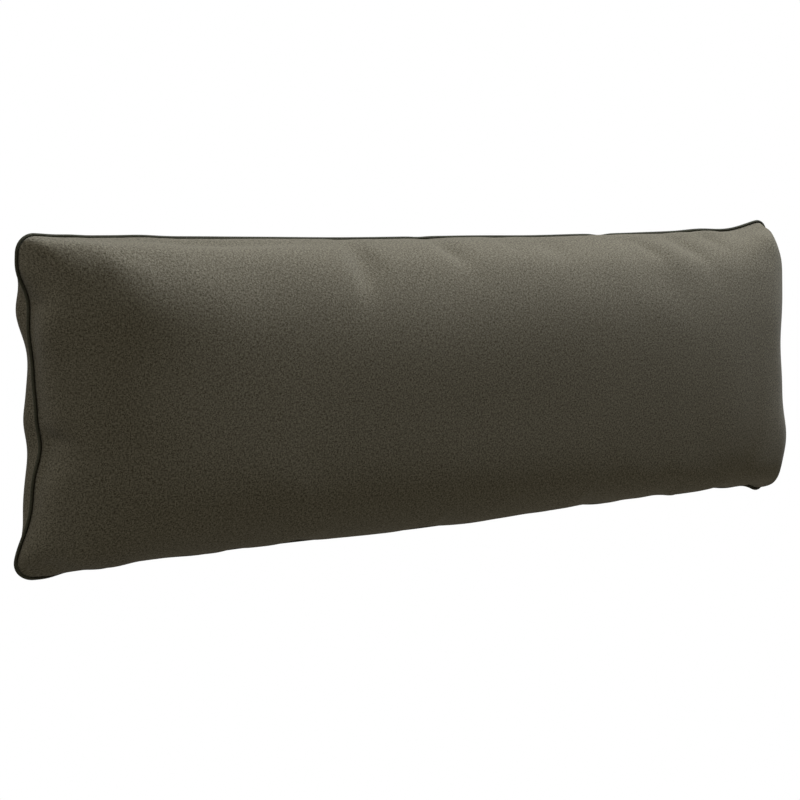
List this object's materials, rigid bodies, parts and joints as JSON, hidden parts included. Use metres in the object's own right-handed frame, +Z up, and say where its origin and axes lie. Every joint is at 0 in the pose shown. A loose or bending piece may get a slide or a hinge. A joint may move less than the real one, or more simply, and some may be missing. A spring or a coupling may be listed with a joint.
{
  "type": "sofa back cushion",
  "caption": "Long filled knife-edge back cushion for a sofa, two woven panels sewn in one seam with dark piping all round.",
  "frame": {"origin": "under the middle of the cushion, at the bottom centre of its bounding box, on the surface it lies on", "axes": "+Z up through the thickness, out of the front panel; +X along the length; +Y across the face, towards the side that is uppermost when the cushion stands against a sofa back"},
  "size_m": [1.205, 0.398, 0.2137],
  "materials": {
    "cover_cloth": "fine melange weave in olive grey, with a pale sheen where the light grazes it",
    "piping_cloth": "matt, nearly black bias strip over a cord"
  },
  "bodies": {
    "root": {"cushion_body": "cover_cloth", "piping": "piping_cloth"}
  },
  "joints": []
}
